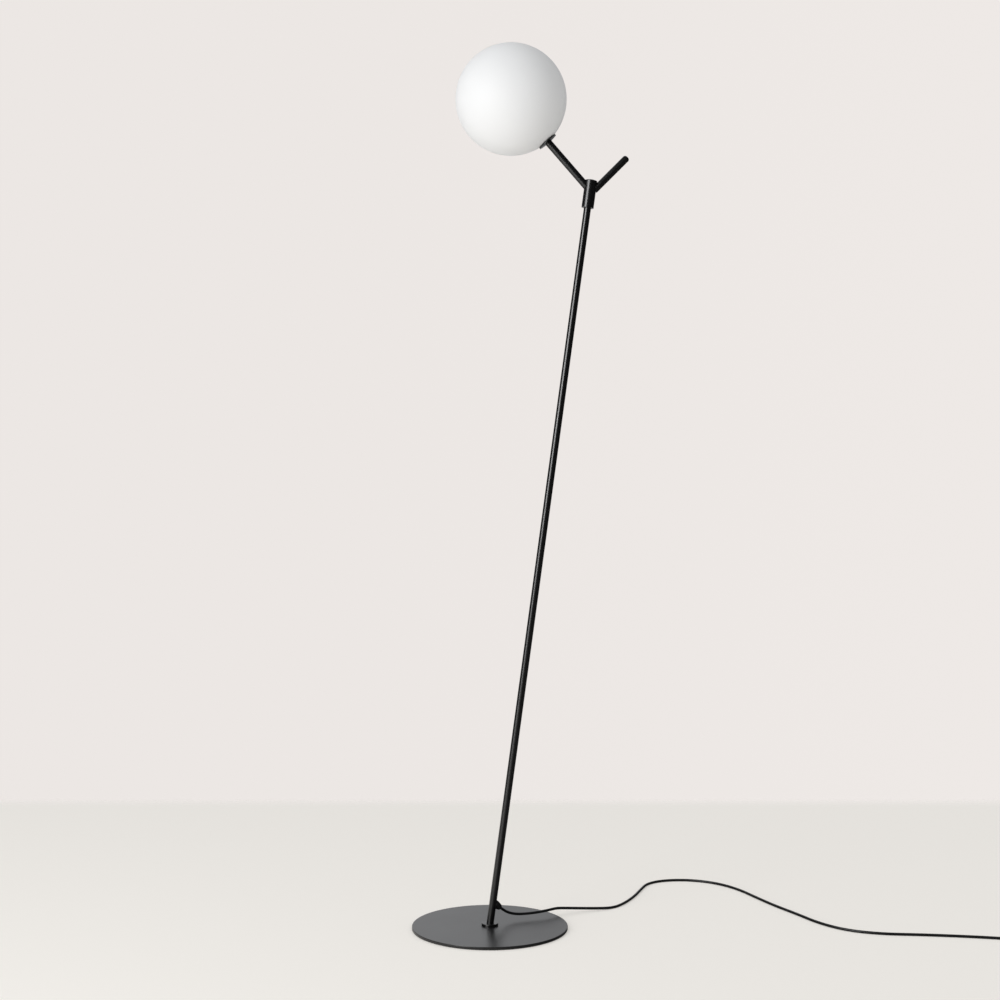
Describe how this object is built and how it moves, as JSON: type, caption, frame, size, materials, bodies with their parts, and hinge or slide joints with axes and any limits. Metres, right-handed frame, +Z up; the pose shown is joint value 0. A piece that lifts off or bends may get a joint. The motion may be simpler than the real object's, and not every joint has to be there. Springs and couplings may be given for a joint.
{
  "type": "floor lamp",
  "caption": "Globe floor lamp: round steel base, leaning pole, swivelling Y hub with an arm to an opal glass globe and a short handle rod, lead with foot switch and plug.",
  "frame": {"origin": "middle of the base's underside, on the floor", "axes": "+Z up, +X the way the pole leans, +Y to the back, away from the picture's camera"},
  "size_m": [1.2601, 0.4842, 1.5916],
  "materials": {
    "satin_black": "satin powder coat",
    "black_foam": "matte",
    "zinc_steel": "zinc plated",
    "plain_brass": "plain",
    "nickel_brass": "nickel plated",
    "white_nylon": "moulded",
    "turned_aluminium": "turned",
    "clear_silicone": "smooth",
    "white_ceramic": "unglazed",
    "opal_glass": "opal, satin",
    "clear_glass": "clear",
    "white_plastic": "moulded",
    "yellow_plastic": "phosphor coated",
    "black_rubber": "satin",
    "black_plastic": "fine texture",
    "gloss_black_plastic": "polished"
  },
  "bodies": {
    "stand": {"base_plate": "satin_black", "foot_flange": "satin_black", "pole_lower": "satin_black", "pole_upper": "satin_black", "base_pad": "black_foam", "flange_screws": "zinc_steel", "switch_screws": "zinc_steel", "switch_spring": "zinc_steel", "pole_joiner": "plain_brass", "plug_pins": "nickel_brass", "swivel_ferrule": "white_nylon", "pole_flex": "black_rubber", "mains_lead": "black_rubber", "switch_lead": "black_rubber", "lead_coil": "black_rubber", "lead_tail": "black_rubber", "strain_relief": "black_rubber", "plug_relief": "black_rubber", "switch_base": "black_plastic", "switch_cover": "black_plastic", "switch_block": "black_plastic", "switch_clamps": "black_plastic", "plug_body": "black_plastic", "plug_sleeves": "black_plastic", "coil_tie": "black_plastic"},
    "head": {"hub": "satin_black", "swivel_bush": "white_nylon", "swivel_screw": "zinc_steel", "long_arm": "satin_black", "handle_rod": "satin_black", "arm_flex": "black_rubber", "arm_nipple": "plain_brass", "globe_dish": "satin_black", "dish_gasket": "clear_silicone", "globe_collar": "turned_aluminium", "lock_nut": "zinc_steel", "holder_bracket": "zinc_steel", "holder_screws": "zinc_steel", "lampholder": "white_ceramic", "lampholder_contacts": "plain_brass"},
    "globe": {"globe_glass": "opal_glass"},
    "bulb": {"bulb_base": "white_plastic", "bulb_envelope": "clear_glass", "bulb_core": "yellow_plastic", "bulb_pins": "zinc_steel"},
    "button": {"switch_button": "gloss_black_plastic"}
  },
  "joints": [
    {"name": "head_swivel", "type": "hinge", "parent": "stand", "child": "head", "pos_m": [0.17558, 0, 1.29611], "axis": [0.1349, 0, 0.9909], "range_deg": [-155, 155]},
    {"name": "globe_pull", "type": "slide", "parent": "head", "child": "globe", "axis": [-0.6547, 0, 0.7559], "range_m": [0, 0.1]},
    {"name": "bulb_pull", "type": "slide", "parent": "head", "child": "bulb", "axis": [-0.6547, 0, 0.7559], "range_m": [0, 0.012]},
    {"name": "button_press", "type": "slide", "parent": "stand", "child": "button", "axis": [0, 0, -1], "range_m": [0, 0.003], "stiffness_N_per_m": 500, "springref_m": -0.002, "deforming": ["switch_spring"]}
  ]
}
